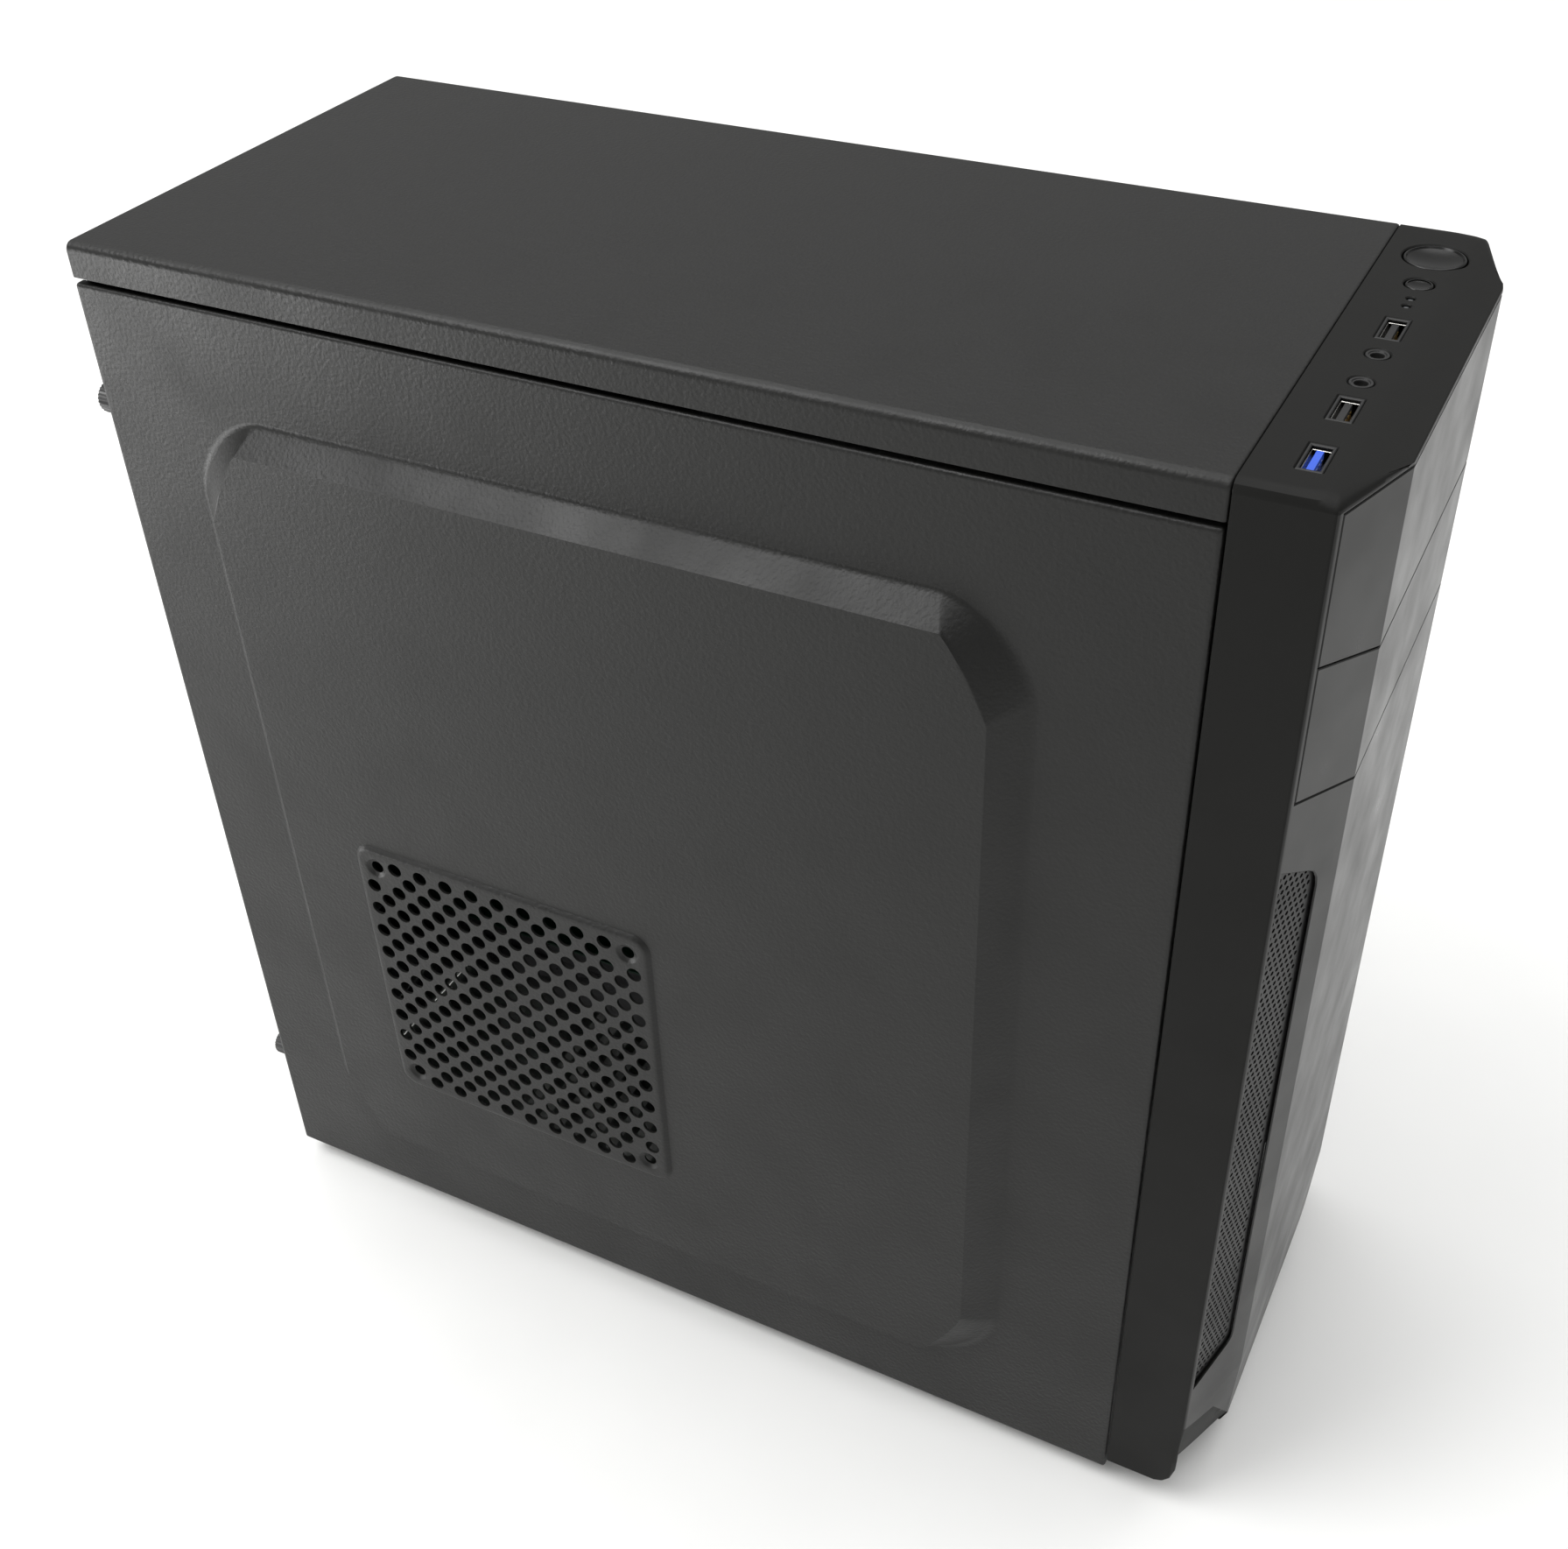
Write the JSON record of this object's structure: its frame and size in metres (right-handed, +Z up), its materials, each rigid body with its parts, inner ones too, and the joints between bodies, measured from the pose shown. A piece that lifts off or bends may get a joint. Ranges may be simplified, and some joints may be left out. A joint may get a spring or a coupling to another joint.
{
  "type": "desktop computer tower",
  "caption": "Midi tower computer: folded steel case with a bulged, vented side panel, a moulded front bezel with top controls, and the boards, drives, fans and supply inside.",
  "frame": {"origin": "under the middle of the whole tower, on the plane its feet stand on", "axes": "+Z up, the bezel faces -Y, the vented side panel is on the -X side"},
  "size_m": [0.1944, 0.418, 0.42],
  "materials": {
    "case_paint": "satin powder coat with a fine grain",
    "chassis_steel": "zinc-coated sheet",
    "foot_rubber": "matt",
    "screw_black": "knurled black head on a steel thread",
    "bezel_plastic": "fine moulded texture",
    "cover_plastic": "satin gloss",
    "button_plastic": "satin",
    "led_lens": "smoked lens, unlit",
    "port_plastic": "plain",
    "port_blue": "blue contact tongue",
    "fan_plastic": "satin",
    "circuit_board": "solder mask with parts",
    "cast_alloy": "matt cast and extruded",
    "port_metal": "nickel plated",
    "supply_paint": "satin",
    "inlet_plastic": "plain"
  },
  "bodies": {
    "chassis": {"top_cover": "case_paint", "bottom_pan": "chassis_steel", "front_frame": "chassis_steel", "front_rail": "chassis_steel", "board_tray": "chassis_steel", "optical_cage": "chassis_steel", "drive_cage": "chassis_steel", "rear_panel": "chassis_steel", "slot_cover_1": "chassis_steel", "slot_cover_2": "chassis_steel", "slot_cover_3": "chassis_steel", "slot_cover_4": "chassis_steel", "slot_cover_5": "chassis_steel", "foot_front_left": "foot_rubber", "foot_front_right": "foot_rubber", "foot_rear_left": "foot_rubber", "foot_rear_right": "foot_rubber", "rear_fan_frame": "fan_plastic", "front_fan_frame": "fan_plastic", "cpu_fan_frame": "fan_plastic", "graphics_shroud": "fan_plastic", "main_board": "circuit_board", "memory_module_1": "circuit_board", "memory_module_2": "circuit_board", "graphics_card": "circuit_board", "psu_board": "circuit_board", "cpu_heatsink": "cast_alloy", "hard_drive": "cast_alloy", "rear_ports": "port_metal", "io_shield": "port_metal", "psu_case": "supply_paint", "mains_inlet": "inlet_plastic"},
    "side_panel_left": {"side_panel_left": "case_paint"},
    "side_panel_right": {"side_panel_right": "case_paint"},
    "thumbscrew_left_lower": {"thumbscrew_left_lower": "screw_black"},
    "thumbscrew_left_upper": {"thumbscrew_left_upper": "screw_black"},
    "thumbscrew_right_lower": {"thumbscrew_right_lower": "screw_black"},
    "thumbscrew_right_upper": {"thumbscrew_right_upper": "screw_black"},
    "front_bezel": {"front_bezel": "bezel_plastic", "bezel_mesh_left": "bezel_plastic", "bezel_mesh_right": "bezel_plastic", "power_led": "led_lens", "drive_led": "led_lens", "usb_port_left": "port_plastic", "usb_port_right": "port_plastic", "audio_jack_left": "port_plastic", "audio_jack_right": "port_plastic", "usb3_port": "port_blue", "front_io_board": "circuit_board"},
    "bay_cover_upper": {"bay_cover_upper": "cover_plastic"},
    "bay_cover_lower": {"bay_cover_lower": "cover_plastic"},
    "power_button": {"power_button": "button_plastic"},
    "reset_button": {"reset_button": "button_plastic"},
    "rear_fan_rotor": {"rear_fan_rotor": "fan_plastic"},
    "front_fan_rotor": {"front_fan_rotor": "fan_plastic"},
    "cpu_fan_rotor": {"cpu_fan_rotor": "fan_plastic"},
    "graphics_fan_rotor": {"graphics_fan_rotor": "fan_plastic"},
    "psu_fan_rotor": {"psu_fan_rotor": "fan_plastic"},
    "psu_switch": {"psu_switch": "inlet_plastic"}
  },
  "joints": [
    {"name": "panel_left_slide", "type": "slide", "parent": "chassis", "child": "side_panel_left", "axis": [0, 1, 0], "range_m": [0, 0.4]},
    {"name": "panel_right_slide", "type": "slide", "parent": "chassis", "child": "side_panel_right", "axis": [0, 1, 0], "range_m": [0, 0.4]},
    {"name": "thumbscrew_left_lower_turn", "type": "hinge", "parent": "side_panel_left", "child": "thumbscrew_left_lower", "pos_m": [-0.07625, 0.2023, 0.055], "axis": [0, 1, 0], "continuous": true},
    {"name": "thumbscrew_left_upper_turn", "type": "hinge", "parent": "side_panel_left", "child": "thumbscrew_left_upper", "pos_m": [-0.07625, 0.2023, 0.361], "axis": [0, 1, 0], "continuous": true},
    {"name": "thumbscrew_right_lower_turn", "type": "hinge", "parent": "side_panel_right", "child": "thumbscrew_right_lower", "pos_m": [0.07775, 0.2023, 0.055], "axis": [0, 1, 0], "continuous": true},
    {"name": "thumbscrew_right_upper_turn", "type": "hinge", "parent": "side_panel_right", "child": "thumbscrew_right_upper", "pos_m": [0.07775, 0.2023, 0.361], "axis": [0, 1, 0], "continuous": true},
    {"name": "bezel_pull", "type": "slide", "parent": "chassis", "child": "front_bezel", "axis": [0, -1, 0], "range_m": [0, 0.06]},
    {"name": "bay_cover_upper_pull", "type": "slide", "parent": "front_bezel", "child": "bay_cover_upper", "axis": [0, -1, 0], "range_m": [0, 0.03]},
    {"name": "bay_cover_lower_pull", "type": "slide", "parent": "front_bezel", "child": "bay_cover_lower", "axis": [0, -1, 0], "range_m": [0, 0.03]},
    {"name": "power_press", "type": "slide", "parent": "front_bezel", "child": "power_button", "axis": [0, 0, -1], "range_m": [0, 0.0025], "stiffness_N_per_m": 400, "springref_m": -0.001},
    {"name": "reset_press", "type": "slide", "parent": "front_bezel", "child": "reset_button", "axis": [0, 0, -1], "range_m": [0, 0.0015], "stiffness_N_per_m": 400, "springref_m": -0.001},
    {"name": "rear_fan_spin", "type": "hinge", "parent": "chassis", "child": "rear_fan_rotor", "pos_m": [-0.03325, 0.1833, 0.248], "axis": [0, 1, 0], "continuous": true},
    {"name": "front_fan_spin", "type": "hinge", "parent": "chassis", "child": "front_fan_rotor", "pos_m": [0.00075, -0.1567, 0.128], "axis": [0, 1, 0], "continuous": true},
    {"name": "cpu_fan_spin", "type": "hinge", "parent": "chassis", "child": "cpu_fan_rotor", "pos_m": [0.00275, 0.1173, 0.243], "axis": [1, 0, 0], "continuous": true},
    {"name": "graphics_fan_spin", "type": "hinge", "parent": "chassis", "child": "graphics_fan_rotor", "pos_m": [0.00275, 0.0953, 0.118], "axis": [0, 0, 1], "continuous": true},
    {"name": "psu_fan_spin", "type": "hinge", "parent": "chassis", "child": "psu_fan_rotor", "pos_m": [0.00075, 0.1253, 0.333], "axis": [0, 0, 1], "continuous": true},
    {"name": "psu_switch_rock", "type": "hinge", "parent": "chassis", "child": "psu_switch", "pos_m": [0.05075, 0.1926, 0.345], "axis": [1, 0, 0], "range_deg": [-16, 0]}
  ]
}
